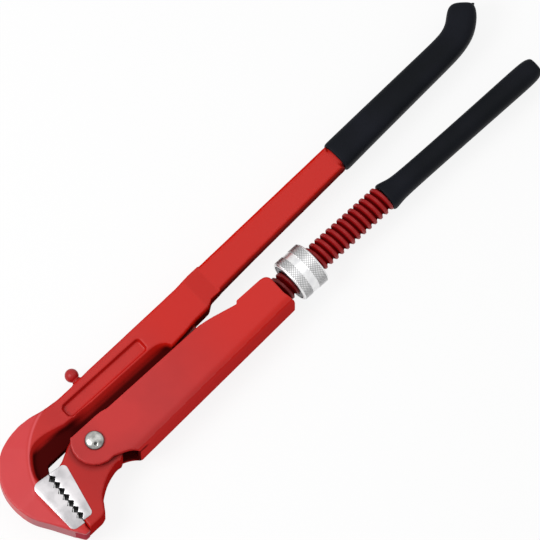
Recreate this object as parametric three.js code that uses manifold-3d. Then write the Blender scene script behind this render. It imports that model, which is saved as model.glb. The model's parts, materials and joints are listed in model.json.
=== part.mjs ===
// Swedish-pattern corner pipe wrench, 1 inch size, jaws closed, lying on its side.
// Millimetres. X runs from the jaws to the handles and is 0 on the tooth contact line,
// Y is 0 on the axis of the threaded rod and grows towards the long arm,
// Z is 0 on the tool's mid-plane. The last lines move the whole tool so that the origin
// is the middle of its bounding box in X and Y, on the surface that it lies on.

import * as THREE from 'three';
import { mergeVertices } from 'three/addons/utils/BufferGeometryUtils.js';
import Module from 'manifold-3d';

const wasm = await Module();
wasm.setup();

// ---- driving dimensions ----------------------------------------------------------------

const GAP = 0.3;                 // clearance between pieces that seat on each other
const ROUND = 32;                // facets round a turned piece

// jaws
const JAW_MIDDLE = [0, -6.4];    // middle of the tooth row
const JAW_LEAN = THREE.MathUtils.degToRad(6.4);  // tooth row against the Y axis
const TOOTH_COUNT = 7;
const TOOTH_PITCH = 3.7;
const TOOTH_DEPTH = TOOTH_PITCH / 2;
const NOSE_Y = -25.4;            // blunt end of the lower jaw; the hook reaches a little further
const LAND_RISE = 0.3;           // ground land over the painted forging

// long arm
const HEAD_HALF = 6.9;           // hook, beam and block, half thickness
const WEB_HALF = 3.1;            // thin web along the throat, half thickness
const POCKET_FLOOR = 4.1;        // floor of the beam's pocket, above the mid-plane
const HOOK_DRAFT = THREE.MathUtils.degToRad(8);  // fall of the hook's faces towards its back
const SHANK_HALF = 4.3;
const RAIL_Y = 12;               // edge of the web that the lower jaw runs on
const BLOCK = [87, 103];         // block and lug, along X
const BLOCK_Y = 13.4;            // lower face of the block
const SHOE = [6, 9.4];           // guide shoes under the casing's lips, along Y
const SHOE_HALF = 8.2;

// casing, a folded channel with its web on the -Y side
const SHEET = 3.1;
const CHEEK_HALF = 11.8;         // outside of the cheeks, and the face the tool lies on
const CHEEK_INSIDE = CHEEK_HALF - SHEET;
const WEB_BEND = 5.5;            // outer bend radius
const WEB_START = [41, -15.1];   // front end of the web's outer face
const WEB_SLOPE = THREE.MathUtils.degToRad(2.5);
const CASING_END = 144.2;
const LIP = { from: 46, to: 103, bottom: 9.7, half: 3.9 };
const LOBE_RADIUS = 11.7;

// lower jaw and its rivet
const JAW_HALF = 7.8;
const RIVET = { x: 28.1, y: 4, shank: 3.2, head: 4.7, rise: 2.2, sunk: 2 };
const GROOVE_HALF = 3.7;

// pivot of the short arm
const PIVOT = { x: 98, y: -3.2, pin: 3.5, eye: 5.6, half: 8.2 };

// threaded rod, nut and handles
const THREAD = { crest: 7.05, root: 5.6, pitch: 3.6, from: 144.1, turns: 19 };
const NECK = { to: 140, low: -7.3, high: 5.9, half: 8.1 };
const NUT = { from: 151.2, length: 15.4, radius: 11.5, bore: 7.4 };
const THRUST_RING = { inner: 7.4, outer: 9.5, thick: 2 };
const GRIP_WALL = 1.9;
const GRIP_START = 209.8;

// leaf spring and the rivet that holds it
const STUD = { x: 43.9, shank: 2, head: 3.45, headY: 37.1, neck: 2.6 };
const LEAF = { from: 38, to: 83, thick: 0.8, half: 2.9 };

// ---- materials --------------------------------------------------------------------------

const finish = (color, roughness, metalness) =>
  new THREE.MeshStandardMaterial({ color, roughness, metalness });
const RED_PAINT = finish('#bd2a2d', 0.4, 0);
const BLACK_DIP = finish('#1b1c20', 0.55, 0);
const BRIGHT_STEEL = finish('#c9cccf', 0.35, 1);
const ZINC_PLATE = finish('#d8dadc', 0.3, 1);

// ---- solids -----------------------------------------------------------------------------

// a closed geometry as a solid for joining and cutting
function solid(geometry) {
  const bare = geometry.clone();
  bare.deleteAttribute('normal');
  bare.deleteAttribute('uv');
  const merged = mergeVertices(bare, 1e-4);
  const corners = merged.index.array;
  const kept = [];
  for (let i = 0; i < corners.length; i += 3) {
    const [a, b, c] = corners.slice(i, i + 3);
    if (a !== b && b !== c && c !== a) kept.push(a, b, c);
  }
  return new wasm.Manifold(new wasm.Mesh({
    numProp: 3,
    vertProperties: merged.attributes.position.array,
    triVerts: new Uint32Array(kept),
  }));
}

function piece(name, body, material) {
  const { vertProperties, triVerts } = body.getMesh();
  const geometry = new THREE.BufferGeometry();
  geometry.setAttribute('position', new THREE.BufferAttribute(vertProperties, 3));
  geometry.setIndex(new THREE.BufferAttribute(triVerts, 1));
  const mesh = new THREE.Mesh(geometry, material);
  mesh.name = name;
  return mesh;
}

const spots = (pairs) => pairs.map(([x, y]) => new THREE.Vector2(x, y));
const polygon = (pairs) => new THREE.Shape(spots(pairs));

// an outline between -half and +half in Z, with chamfered edges
function plate(shape, half, chamfer = 0, smoothness = 4) {
  const geometry = new THREE.ExtrudeGeometry(shape, {
    depth: 2 * (half - chamfer),
    curveSegments: smoothness,
    bevelEnabled: chamfer > 0,
    bevelThickness: chamfer,
    bevelSize: chamfer,
    bevelOffset: -chamfer,
    bevelSegments: 1,
  });
  return solid(geometry.translate(0, 0, chamfer - half));
}

// a plate and its mirror image, from height low up and from -low down, widening by slope
function bothSides(shape, low, high, slope) {
  const geometry = new THREE.ExtrudeGeometry(shape, {
    depth: 2,
    curveSegments: 4,
    bevelEnabled: true,
    bevelThickness: high - low,
    bevelSize: slope,
    bevelSegments: 1,
  });
  const upper = solid(geometry.translate(0, 0, high));
  return upper.add(upper.mirror([0, 0, 1]));
}

function block([x0, x1], [y0, y1], [z0, z1]) {
  const geometry = new THREE.BoxGeometry(x1 - x0, y1 - y0, z1 - z0);
  return solid(geometry.translate((x0 + x1) / 2, (y0 + y1) / 2, (z0 + z1) / 2));
}

// a turned solid: pairs of (place along the axis, radius), from one end to the other
function turned(profile, axis, place = [0, 0, 0], facets = ROUND) {
  const geometry = new THREE.LatheGeometry(profile.map(([s, r]) => new THREE.Vector2(r, s)), facets);
  if (axis === 'x') geometry.rotateZ(-Math.PI / 2);
  if (axis === 'z') geometry.rotateX(Math.PI / 2);
  return solid(geometry.translate(...place));
}

const rod = (axis, from, to, radius, place, facets) =>
  turned([[from, 0], [from, radius], [to, radius], [to, 0]], axis, place, facets);

// rounded sections carried along stations [x, y, heading, half width, half thickness]
function loft(stations, grow = 0, sides = 20, squareness = 0.66) {
  const bulge = (v) => Math.sign(v) * Math.abs(v) ** squareness;
  const positions = [];
  for (const [x, y, heading, wide, thick] of stations) {
    const turn = THREE.MathUtils.degToRad(heading);
    for (let k = 0; k < sides; k++) {
      const angle = 2 * Math.PI * k / sides;
      const across = (wide + grow) * bulge(Math.cos(angle));
      const up = (thick + grow) * bulge(Math.sin(angle));
      positions.push(x - Math.sin(turn) * across, y + Math.cos(turn) * across, up);
    }
  }
  const index = [];
  for (let s = 0; s + 1 < stations.length; s++) {
    for (let k = 0; k < sides; k++) {
      const a = s * sides + k;
      const b = s * sides + (k + 1) % sides;
      index.push(a, b, a + sides, b, b + sides, a + sides);
    }
  }
  const last = (stations.length - 1) * sides;
  for (let k = 1; k + 1 < sides; k++) {
    index.push(0, k + 1, k, last, last + k, last + k + 1);
  }
  const geometry = new THREE.BufferGeometry();
  geometry.setAttribute('position', new THREE.Float32BufferAttribute(positions, 3));
  geometry.setIndex(index);
  return solid(geometry);
}

// ---- the jaw line -----------------------------------------------------------------------

// X of the jaw line at a given Y; away is the distance from it towards the lower jaw
const jawX = (y, away = 0) => (y - JAW_MIDDLE[1]) * Math.tan(JAW_LEAN) + away;

// seven square notches with their diagonals on the jaw line cut V teeth into both jaws
function toothNotches(away) {
  const side = TOOTH_DEPTH * Math.SQRT2;
  let notches = null;
  for (let i = 0; i < TOOTH_COUNT; i++) {
    const along = (i - (TOOTH_COUNT - 1) / 2) * TOOTH_PITCH;
    const geometry = new THREE.BoxGeometry(side, side, 30);
    geometry.rotateZ(Math.PI / 4 - JAW_LEAN);
    geometry.translate(
      JAW_MIDDLE[0] + along * Math.sin(JAW_LEAN) + away,
      JAW_MIDDLE[1] + along * Math.cos(JAW_LEAN),
      0,
    );
    const notch = solid(geometry);
    notches = notches ? notches.add(notch) : notch;
  }
  return notches;
}

// ---- long arm: hook, beam, block, lug and shank in one forging --------------------------

function headOutline() {
  const outline = new THREE.Shape();
  outline.moveTo(jawX(NOSE_Y - 0.7, -GAP / 2), NOSE_Y - 0.7);
  outline.lineTo(-5.2, NOSE_Y - 0.6);
  outline.splineThru(spots([
    [-9.8, -18.6], [-14, -11], [-18.5, -3.2], [-20.4, 5.4], [-19.9, 14.4], [-16.4, 22.8],
    [-10, 29.7], [-3.4, 33.2], [5, 34.9], [13.5, 34.6], [21.1, 33], [30, 32],
  ]));
  outline.lineTo(38, 32.1);
  outline.lineTo(50, 32.7);
  outline.lineTo(108, 33.7);
  outline.lineTo(120, 34.8);
  outline.lineTo(124, 35);
  outline.lineTo(124, 18.6);
  outline.lineTo(117.4, 18.3);
  outline.lineTo(115, 16.6);
  outline.lineTo(113.4, 15.7);
  outline.lineTo(104, 15.2);
  outline.lineTo(97, 14.2);
  outline.lineTo(BLOCK[0], BLOCK_Y);
  outline.lineTo(BLOCK[0], RAIL_Y);
  outline.lineTo(20, RAIL_Y);
  outline.lineTo(4.9, 11.6);
  outline.lineTo(3, 8.6);
  outline.lineTo(jawX(7.1, -GAP / 2), 7.1);
  return outline;
}

// behind the block both faces slope down to the thinner shank
function shankSlope() {
  const side = polygon([[113, HEAD_HALF], [123, SHANK_HALF], [130, SHANK_HALF], [130, 10], [113, 10]]);
  const geometry = new THREE.ExtrudeGeometry(side, { depth: 40, bevelEnabled: false });
  geometry.rotateX(Math.PI / 2);
  const upper = solid(geometry.translate(0, 45, 0));
  return upper.add(upper.mirror([0, 0, 1]));
}

// the deep recess that leaves only the thin web beside the throat and under the beam
function throatRecess() {
  const outline = new THREE.Shape();
  outline.moveTo(-2.1, 6);
  outline.splineThru(spots([[-1.1, 12], [2.4, 17.6], [7, 20.6], [13.1, 20.6], [23.4, 18]]));
  outline.lineTo(41, 16.9);
  outline.lineTo(78, 16.9);
  outline.splineThru(spots([[82, 16.4], [84.6, 14.8], [BLOCK[0] - 1, 12]]));
  outline.lineTo(BLOCK[0] - 1, 2);
  outline.lineTo(-2.1, 2);
  return bothSides(outline, WEB_HALF, HEAD_HALF, 3.2);
}

// shallow pocket that makes the beam an I section
function beamPocket() {
  const pocket = polygon([
    [30, 21.4], [77, 21.4], [78, 22.4], [78, 26.8], [77, 27.6], [30, 27.6], [28.6, 26.4], [28.6, 22.6],
  ]);
  return bothSides(pocket, POCKET_FLOOR, HEAD_HALF, 0.7);
}

// Outside a ridge both faces of the hook fall away towards its back. Each station is a spot on
// the ridge and the direction of the fall; the wedges between stations are cut off.
function hookFall() {
  const reach = 24;
  const drop = reach * Math.tan(HOOK_DRAFT);
  const stations = [
    [20, 33.4, 90], [11.5, 28.7, 112], [3, 23.1, 130], [0.6, 19.6, 145], [-3, 13.2, 155], [-6.8, 8.1, 160],
    [-10.3, 3.6, 180], [-10.1, -8, 195], [-8.9, -19.8, 215], [-6.8, -22.6, 250], [0, -23.2, 270],
  ];
  const rows = stations.map(([x, y, heading]) => {
    const turn = THREE.MathUtils.degToRad(heading);
    const far = [x + reach * Math.cos(turn), y + reach * Math.sin(turn)];
    return [[x, y, HEAD_HALF], [x, y, 12], [...far, HEAD_HALF - drop], [...far, 12]];
  });
  let upper = null;
  for (let i = 1; i < rows.length; i++) {
    const wedge = wasm.Manifold.hull([...rows[i - 1], ...rows[i]]);
    upper = upper ? upper.add(wedge) : wedge;
  }
  return upper.add(upper.mirror([0, 0, 1]));
}

// ground land behind the hook's teeth, a little proud of the paint
function hookLand() {
  const outline = new THREE.Shape();
  outline.moveTo(jawX(-22.2, -GAP / 2), -22.2);
  outline.lineTo(-6.6, -22.2);
  outline.quadraticCurveTo(-8.5, -22, -8.8, -19.4);
  outline.lineTo(-10.1, 4);
  outline.quadraticCurveTo(-10, 7.8, -6.4, 8.1);
  outline.lineTo(jawX(7.3, -GAP / 2), 7.3);
  return plate(outline, HEAD_HALF + LAND_RISE, 0.25)
    .intersect(plate(headOutline(), HEAD_HALF + LAND_RISE, 0.8));
}

// thin lug under the block, with shoes that run under the casing's lips and the pivot hole
function lug() {
  const nose = new THREE.Shape();
  nose.moveTo(BLOCK[0], BLOCK_Y + 2);
  nose.lineTo(BLOCK[0], 4);
  nose.lineTo(PIVOT.x - PIVOT.eye, PIVOT.y);
  nose.absarc(PIVOT.x, PIVOT.y, PIVOT.eye, Math.PI, 2 * Math.PI, false);
  nose.lineTo(BLOCK[1], 4);
  nose.lineTo(BLOCK[1], BLOCK_Y + 2);
  const shoes = block(BLOCK, SHOE, [-SHOE_HALF, SHOE_HALF]);
  return plate(nose, WEB_HALF + 0.2).add(shoes);
}

function shank() {
  const outline = polygon([
    [116, 18], [145, 19.7], [GRIP_START - 2 * GAP, 22.8], [GRIP_START - 2 * GAP, 37], [116, 34.6],
  ]);
  return plate(outline, SHANK_HALF, 1.7);
}

// stations of the dipped grip on the long arm: straight, then bent 45 degrees outwards
const LONG_GRIP = [
  [GRIP_START, 30, 2.4, 7.9, 6.6],
  [250, 31.7, 2.4, 7.4, 6.5],
  [285.8, 33.1, 3, 6.95, 6.4],
  [291.5, 34.2, 14, 6.95, 6.4],
  [295.9, 35.8, 24, 7.2, 6.4],
  [299.2, 38.1, 32, 7.3, 6.4],
  [302.1, 40.6, 40, 7.2, 6.3],
  [304.1, 42.7, 48, 6.6, 6],
  [305.3, 43.9, 50, 5.4, 5.3],
  [306, 44.6, 50, 3.3, 3.9],
];

// the steel inside a dipped grip runs on into the arm and stops short of the dip's blind end
const coreOf = (grip, from, short) => [[from, grip[0][1], ...grip[0].slice(2)], ...grip.slice(0, -short)];

const stud = (radius, from, to) => rod('y', from, to, radius, [STUD.x, 0, 0], 20);

function longArm() {
  const boss = turned(
    [[30, 0], [30, 7], [31.4, 6.8], [32.4, 4.8], [33.6, STUD.neck], [33.6, 0]], 'y', [STUD.x, 0, 0], 20,
  );
  return plate(headOutline(), HEAD_HALF, 1.1)
    .subtract(hookFall())
    .subtract(shankSlope())
    .subtract(throatRecess())
    .subtract(beamPocket())
    .add(hookLand())
    .subtract(toothNotches(-GAP / 2))
    .add(lug())
    .add(shank())
    .add(boss)
    .add(loft(coreOf(LONG_GRIP, GRIP_START - 4, 2), -GRIP_WALL - GAP))
    .subtract(rod('z', -9, 9, PIVOT.pin + GAP, [PIVOT.x, PIVOT.y, 0], 24))
    .subtract(stud(STUD.shank + GAP, 5, 40));
}

function longGrip() {
  return loft(LONG_GRIP).subtract(loft(coreOf(LONG_GRIP, GRIP_START - 4, 1), -GRIP_WALL));
}

// ---- leaf spring, and the rivet whose ball head stands on the beam's outer edge ----------

function leafSpring() {
  const top = (x) => {
    const run = Math.max(0, (x - STUD.x - 4) / (LEAF.to - STUD.x - 4));
    return RAIL_Y - GAP - 1.1 * Math.sin(Math.PI * run) ** 2;
  };
  const upper = [];
  for (let x = LEAF.from; x <= LEAF.to; x += 3) upper.push([x, top(x)]);
  const lower = upper.map(([x, y]) => [x, y - LEAF.thick]).reverse();
  return plate(polygon([...upper, ...lower]), LEAF.half).subtract(stud(STUD.shank + GAP, 5, 20));
}

function springRivet() {
  const under = RAIL_Y - GAP - LEAF.thick - GAP;
  const profile = [[under - 0.9, 0], [under - 0.9, 2.4], [under, 2.6], [under, STUD.shank]];
  profile.push([33.9, STUD.shank], [33.9, STUD.neck - 0.1], [34.2, STUD.neck - 0.1]);
  for (let a = -50; a <= 90; a += 20) {
    const turn = THREE.MathUtils.degToRad(a);
    profile.push([STUD.headY + STUD.head * Math.sin(turn), STUD.head * Math.cos(turn)]);
  }
  return turned(profile, 'y', [STUD.x, 0, 0], 20);
}

// ---- casing: folded channel that carries the lower jaw and slides along the beam ----------

// a channel section with rounded lower corners, run along the web's slope
function channel(half, floor, radius, from, to) {
  const section = new THREE.Shape();
  section.moveTo(-half, 40);
  section.lineTo(-half, floor + radius);
  section.absarc(-half + radius, floor + radius, radius, Math.PI, 1.5 * Math.PI, false);
  section.lineTo(half - radius, floor);
  section.absarc(half - radius, floor + radius, radius, 1.5 * Math.PI, 2 * Math.PI, false);
  section.lineTo(half, 40);
  const geometry = new THREE.ExtrudeGeometry(section, {
    depth: to - from,
    bevelEnabled: false,
    curveSegments: 5,
  });
  geometry.translate(0, 0, from - WEB_START[0]);
  geometry.rotateY(Math.PI / 2);
  geometry.rotateZ(WEB_SLOPE);
  return solid(geometry.translate(...WEB_START, 0));
}

function casingSide() {
  const side = new THREE.Shape();
  side.moveTo(21, 12.8);
  side.lineTo(37.5, 12.8);
  side.quadraticCurveTo(40.5, 12.7, 43.5, 11.7);
  side.lineTo(LIP.to, 11.7);
  side.splineThru(spots([[109.2, 10.7], [115.1, 9.3], [123.7, 7.2]]));
  side.lineTo(124.5, 8.5);
  side.lineTo(140, 8.4);
  side.quadraticCurveTo(CASING_END - 0.2, 8.2, CASING_END, 4.6);
  side.lineTo(CASING_END - 0.3, -4);
  side.lineTo(CASING_END + 1.7, -12);
  side.lineTo(WEB_START[0], -18);
  side.lineTo(...WEB_START);
  side.splineThru(spots([[40.3, -13.3], [38.7, -11.6], [36.2, -10.1], [33.4, -8.9], [30.5, -7.7]]));
  side.absarc(RIVET.x, RIVET.y, LOBE_RADIUS, 1.56 * Math.PI, 0.72 * Math.PI, true);
  return plate(side, CHEEK_HALF + 1);
}

function casing() {
  const outside = channel(CHEEK_HALF, 0, WEB_BEND, 5, 150);
  const lips = block([LIP.from, LIP.to], [LIP.bottom, 13], [LIP.half, CHEEK_HALF]);
  const hollow = channel(CHEEK_INSIDE, SHEET, WEB_BEND - SHEET, 0, 155)
    .subtract(lips)
    .subtract(lips.mirror([0, 0, 1]));
  const heelRoom = block([25, WEB_START[0]], [-20, -8], [-CHEEK_INSIDE, CHEEK_INSIDE]);
  const hole = RIVET.shank + GAP;
  const out = CHEEK_HALF + 0.8;
  const sink = CHEEK_HALF - RIVET.sunk;
  const rivetHole = turned(
    [[-out, 0], [-out, RIVET.head + 1.4], [-sink, hole], [out, hole], [out, 0]],
    'z', [RIVET.x, RIVET.y, 0], 24,
  );
  return outside.intersect(casingSide()).subtract(hollow).subtract(heelRoom).subtract(rivetHole);
}

// domed head on the upper cheek, countersunk and flush in the lower one
function jawRivet() {
  const seat = CHEEK_HALF + GAP;
  const flush = 0.1 - CHEEK_HALF;
  const sink = CHEEK_HALF - RIVET.sunk + 0.1;
  const profile = [[flush, 0], [flush, RIVET.head + 0.1], [-sink, RIVET.shank], [seat, RIVET.shank]];
  profile.push([seat, RIVET.head]);
  for (const [r, up] of [[0.97, 0.3], [0.82, 0.65], [0.5, 0.92]]) {
    profile.push([seat + up * RIVET.rise, r * RIVET.head]);
  }
  profile.push([seat + RIVET.rise, 0]);
  return turned(profile, 'z', [RIVET.x, RIVET.y, 0], 24);
}

// ---- lower jaw: toothed heel jaw, riveted between the cheeks, grooved to run on the web ----

function lowerJaw() {
  const outline = new THREE.Shape();
  outline.moveTo(jawX(NOSE_Y, GAP / 2), NOSE_Y);
  outline.lineTo(6.2, NOSE_Y + 0.1);
  outline.lineTo(8.8, -24.4);
  outline.splineThru(spots([[11.1, -21.1], [14, -17.4], [20.6, -13.1], [27.9, -10.8], [31.6, -11]]));
  outline.lineTo(33.6, -10);
  outline.lineTo(36.6, -6.4);
  outline.lineTo(42, -5);
  outline.lineTo(42, 12.6);
  outline.lineTo(41, 13.3);
  outline.lineTo(22.5, 13.3);
  outline.lineTo(17.5, 11.5);
  outline.lineTo(10.4, 7.9);
  outline.lineTo(8, 7.2);
  outline.lineTo(jawX(7, GAP / 2), 7);
  const land = new THREE.Shape();
  land.moveTo(jawX(-20.3, GAP / 2), -20.3);
  land.lineTo(2, -20.8);
  land.quadraticCurveTo(3.8, -20.8, 4.2, -19);
  land.lineTo(10.1, 4);
  land.quadraticCurveTo(10.2, 6.9, 7.6, 7.1);
  land.lineTo(jawX(7, GAP / 2), 7);
  const groove = polygon([[9, 9.3], [28, 9.3], [46, 7.8], [46, 20], [9, 20]]);
  return plate(outline, JAW_HALF, 0.9)
    .add(plate(land, JAW_HALF + LAND_RISE, 0.25))
    .subtract(toothNotches(GAP / 2))
    .subtract(plate(groove, GROOVE_HALF))
    .subtract(rod('z', -9, 9, RIVET.shank + GAP, [RIVET.x, RIVET.y, 0], 24));
}

// ---- short arm: forked end, plain neck, threaded rod and handle core ----------------------

function fork() {
  const outline = new THREE.Shape();
  outline.moveTo(NECK.to, NECK.high - 1.2);
  outline.lineTo(NECK.to - 2, NECK.high);
  outline.lineTo(112, NECK.high);
  outline.lineTo(108, 4.8);
  outline.lineTo(99.6, PIVOT.y + PIVOT.eye - 0.3);
  outline.absarc(PIVOT.x, PIVOT.y, PIVOT.eye, 0.42 * Math.PI, 1.5 * Math.PI, false);
  outline.lineTo(108, -8.4);
  outline.lineTo(112, NECK.low - 1);
  outline.lineTo(NECK.to - 2, NECK.low);
  outline.lineTo(NECK.to, NECK.low + 1.2);
  const slotHalf = WEB_HALF + 0.2 + GAP;
  return plate(outline, NECK.half, 1.3)
    .subtract(block([85, 107.2], [-15, 15], [-slotHalf, slotHalf]))
    .subtract(rod('z', -9, 9, PIVOT.pin + GAP, [PIVOT.x, PIVOT.y, 0], 24));
}

function threadedRod() {
  const profile = [[NECK.to - 4, 0], [NECK.to - 4, THREAD.root]];
  for (let i = 0; i < THREAD.turns; i++) {
    const x = THREAD.from + i * THREAD.pitch;
    profile.push([x, THREAD.root]);
    profile.push([x + 0.42 * THREAD.pitch, THREAD.crest], [x + 0.58 * THREAD.pitch, THREAD.crest]);
  }
  const end = THREAD.from + THREAD.turns * THREAD.pitch;
  profile.push([end, THREAD.root], [end + 0.2, THREAD.root], [end + 0.2, 0]);
  return turned(profile, 'x', [0, 0, 0], 24);
}

// stations of the dipped grip on the short arm: collar rim, waist, straight bar, blunt tip
const SHORT_GRIP = [
  [213, -0.5, 0, 7.2, 7],
  [213.8, -0.6, 0, 7.4, 7.3],
  [216, -0.8, 0, 7, 7.1],
  [219, -1, 0, 6.3, 6.7],
  [223, -1.2, 0, 5.8, 6.3],
  [262, -1.6, 0, 5.7, 6.1],
  [304.8, -1.9, 0, 5.8, 6],
  [308.3, -1.9, 0, 4.8, 5.2],
  [310, -1.9, 0, 3.7, 4.5],
  [311, -1.9, 0, 2.3, 3.3],
];

function shortArm() {
  const collarFrom = THREAD.from + THREAD.turns * THREAD.pitch - 2;
  const core = loft(coreOf(SHORT_GRIP, 209, 2), -GRIP_WALL - GAP, 20, 0.8)
    .subtract(block([200, collarFrom], [-9, 9], [-9, 9]));
  return fork().add(threadedRod()).add(core);
}

function shortGrip() {
  return loft(SHORT_GRIP, 0, 20, 0.8).subtract(loft(coreOf(SHORT_GRIP, 209, 1), -GRIP_WALL, 20, 0.8));
}

// ---- adjusting nut and the ring that it thrusts on ----------------------------------------

function adjustingNut() {
  const end = NUT.length;
  const rim = NUT.radius - 0.8;
  const seat = THRUST_RING.thick + GAP;
  const profile = [
    [0, THRUST_RING.outer + GAP], [0, rim], [1.2, NUT.radius], [5.2, NUT.radius], [5.6, NUT.radius - 0.5],
    [9.8, NUT.radius - 0.5], [10.2, NUT.radius], [end - 1.2, NUT.radius], [end, rim],
    [end, NUT.bore + 0.6], [end - 0.6, NUT.bore], [seat, NUT.bore], [seat, THRUST_RING.outer + GAP],
    [0, THRUST_RING.outer + GAP],
  ];
  return turned(profile, 'x', [NUT.from, 0, 0], 40);
}

function thrustRing() {
  const { inner, outer, thick } = THRUST_RING;
  const profile = [[0, inner], [0, outer - 0.3], [0.3, outer], [thick, outer], [thick, inner], [0, inner]];
  return turned(profile, 'x', [NUT.from, 0, 0], 32);
}

// ---- assembly -------------------------------------------------------------------------------

const pivotPin = rod('z', -PIVOT.half, PIVOT.half, PIVOT.pin, [PIVOT.x, PIVOT.y, 0], 24);
const wrench = new THREE.Group();
wrench.add(
  piece('long_arm', longArm(), RED_PAINT),
  piece('long_arm_grip', longGrip(), BLACK_DIP),
  piece('leaf_spring', leafSpring(), BRIGHT_STEEL),
  piece('spring_rivet', springRivet(), RED_PAINT),
  piece('arm_pivot_pin', pivotPin, BRIGHT_STEEL),
  piece('casing', casing(), RED_PAINT),
  piece('jaw_rivet', jawRivet(), BRIGHT_STEEL),
  piece('lower_jaw', lowerJaw(), RED_PAINT),
  piece('short_arm', shortArm(), RED_PAINT),
  piece('short_arm_grip', shortGrip(), BLACK_DIP),
  piece('nut_thrust_ring', thrustRing(), BRIGHT_STEEL),
  piece('adjusting_nut', adjustingNut(), ZINC_PLATE),
);
const box = new THREE.Box3().setFromObject(wrench);
wrench.position.set(-(box.min.x + box.max.x) / 2, -(box.min.y + box.max.y) / 2, -box.min.z);

export default wrench;
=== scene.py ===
import json
import math
import bmesh
import bpy
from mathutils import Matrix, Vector


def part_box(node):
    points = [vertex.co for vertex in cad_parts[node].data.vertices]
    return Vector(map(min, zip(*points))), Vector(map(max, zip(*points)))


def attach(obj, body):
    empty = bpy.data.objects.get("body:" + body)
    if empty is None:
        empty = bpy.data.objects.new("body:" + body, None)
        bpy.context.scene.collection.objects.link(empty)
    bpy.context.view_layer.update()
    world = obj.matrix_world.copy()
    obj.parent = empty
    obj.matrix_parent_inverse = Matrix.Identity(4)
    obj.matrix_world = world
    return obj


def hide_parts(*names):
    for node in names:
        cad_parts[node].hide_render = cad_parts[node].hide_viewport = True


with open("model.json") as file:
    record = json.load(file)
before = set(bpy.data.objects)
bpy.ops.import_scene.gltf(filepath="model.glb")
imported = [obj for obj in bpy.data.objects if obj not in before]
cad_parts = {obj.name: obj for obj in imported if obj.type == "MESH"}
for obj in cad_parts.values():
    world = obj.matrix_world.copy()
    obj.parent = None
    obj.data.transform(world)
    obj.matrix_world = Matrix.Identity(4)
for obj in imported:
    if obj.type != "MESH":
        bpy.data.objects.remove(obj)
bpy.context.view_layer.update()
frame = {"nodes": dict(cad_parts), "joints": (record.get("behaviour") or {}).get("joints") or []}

# The wrench's own zero is on the tooth line, on the threaded rod's axis and on the mid-plane. It
# is found from the jaw rivet, which stands this far behind the one and above the other.
rivet_x, rivet_y = 28.1, 4
jaw_rock = next(joint for joint in frame["joints"] if joint["name"] == "jaw_rock")
zero = Vector(jaw_rock["pos_m"]) - Vector((rivet_x / 1000, rivet_y / 1000, 0))


def at(x, y, z=0.0):
    """A place given in millimetres from the wrench's zero, in the frame's metres."""
    return zero + Vector((x, y, z)) / 1000


# ---- Studio -------------------------------------------------------------------------------------
# A pale table top and two soft boxes over it. The camera looks down steeply from beyond the
# jaws, through a very long lens, so that the wrench runs from lower left to upper right.
view_turn = math.radians(-43)
view_height = math.radians(75)
view_width = 0.2579
lens_mm = 1500
sensor_mm = 36
toward_camera = Vector((
    math.sin(view_turn) * math.cos(view_height),
    -math.cos(view_turn) * math.cos(view_height),
    math.sin(view_height),
))
camera_far = view_width * lens_mm / sensor_mm
bpy.ops.object.camera_add(location=at(148.7, 10.8) + toward_camera * camera_far)
camera = bpy.context.object
camera.rotation_euler = (-toward_camera).to_track_quat("-Z", "Y").to_euler()
camera.data.lens = lens_mm
camera.data.sensor_width = sensor_mm
camera.data.clip_end = 40
bpy.context.scene.camera = camera
bpy.context.scene.view_settings.view_transform = "Standard"

for name, place, size, power in (
    ("key_softbox", (-0.6, 0.3, 0.75), 0.45, 5.6),
    ("fill_softbox", (0.35, 0.1, 0.95), 0.8, 1.6),
):
    bpy.ops.object.light_add(type="AREA", location=place)
    softbox = bpy.context.object
    softbox.name = name
    softbox.data.size = size
    softbox.data.energy = power
    softbox.rotation_euler = (-Vector(place)).to_track_quat("-Z", "Y").to_euler()


def background_rays(tree):
    """1 for the rays that see the white background, and 0 for those that only carry light."""
    ray = tree.nodes.new("ShaderNodeLightPath")
    total = ray.outputs["Is Camera Ray"]
    for kind in ("Is Glossy Ray", "Is Transmission Ray"):
        add = tree.nodes.new("ShaderNodeMath")
        add.operation = "ADD"
        add.use_clamp = True
        tree.links.new(total, add.inputs[0])
        tree.links.new(ray.outputs[kind], add.inputs[1])
        total = add.outputs[0]
    return total


world = bpy.data.worlds.new("studio")
world.use_nodes = True
bpy.context.scene.world = world
sky = world.node_tree
ambient = sky.nodes["Background"]
ambient.inputs["Color"].default_value = (1, 1, 1, 1)
ambient.inputs["Strength"].default_value = 0.5
backdrop = sky.nodes.new("ShaderNodeBackground")
backdrop.inputs["Color"].default_value = (1, 1, 1, 1)
backdrop.inputs["Strength"].default_value = 1.0
choose = sky.nodes.new("ShaderNodeMixShader")
sky.links.new(background_rays(sky), choose.inputs["Fac"])
sky.links.new(ambient.outputs[0], choose.inputs[1])
sky.links.new(backdrop.outputs[0], choose.inputs[2])
sky.links.new(choose.outputs[0], sky.nodes["World Output"].inputs["Surface"])

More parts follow.
